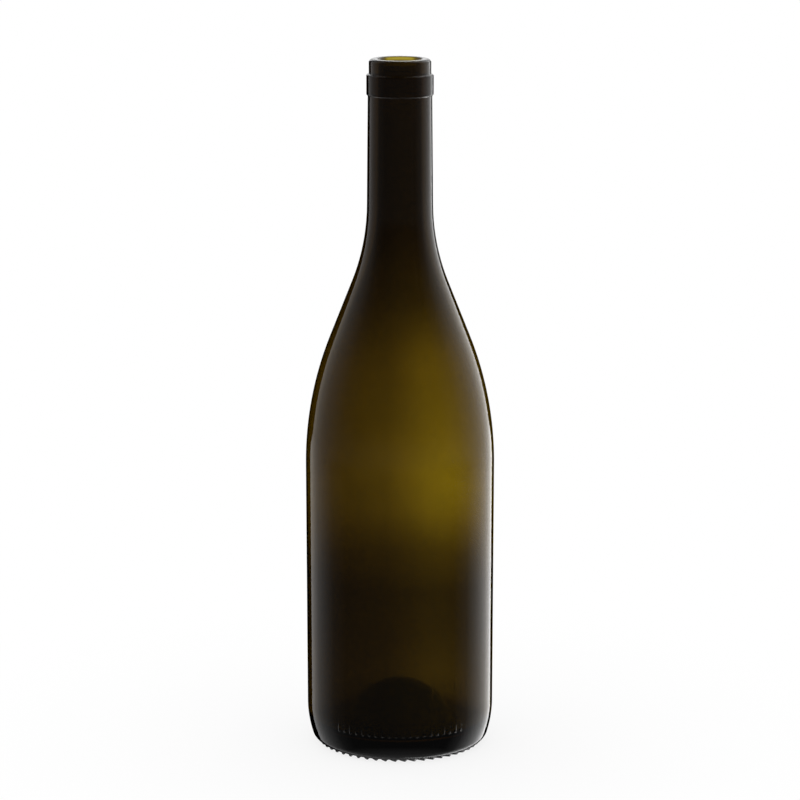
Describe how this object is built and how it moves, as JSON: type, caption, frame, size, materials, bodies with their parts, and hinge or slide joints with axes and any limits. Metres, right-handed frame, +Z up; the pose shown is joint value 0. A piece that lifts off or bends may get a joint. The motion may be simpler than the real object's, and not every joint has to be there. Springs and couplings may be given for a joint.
{
  "type": "wine bottle",
  "caption": "Empty glass wine bottle with sloping shoulders, a banded cork finish and a deep punt, for holding, pouring and displaying wine.",
  "frame": {"origin": "on the surface it stands on, under the middle of the punt", "axes": "+Z up along the bottle's axis towards the mouth, -Y towards the viewer"},
  "size_m": [0.0818, 0.0818, 0.3],
  "materials": {
    "glass": "smooth dark olive green glass"
  },
  "bodies": {
    "root": {"bottle": "glass"}
  },
  "joints": []
}
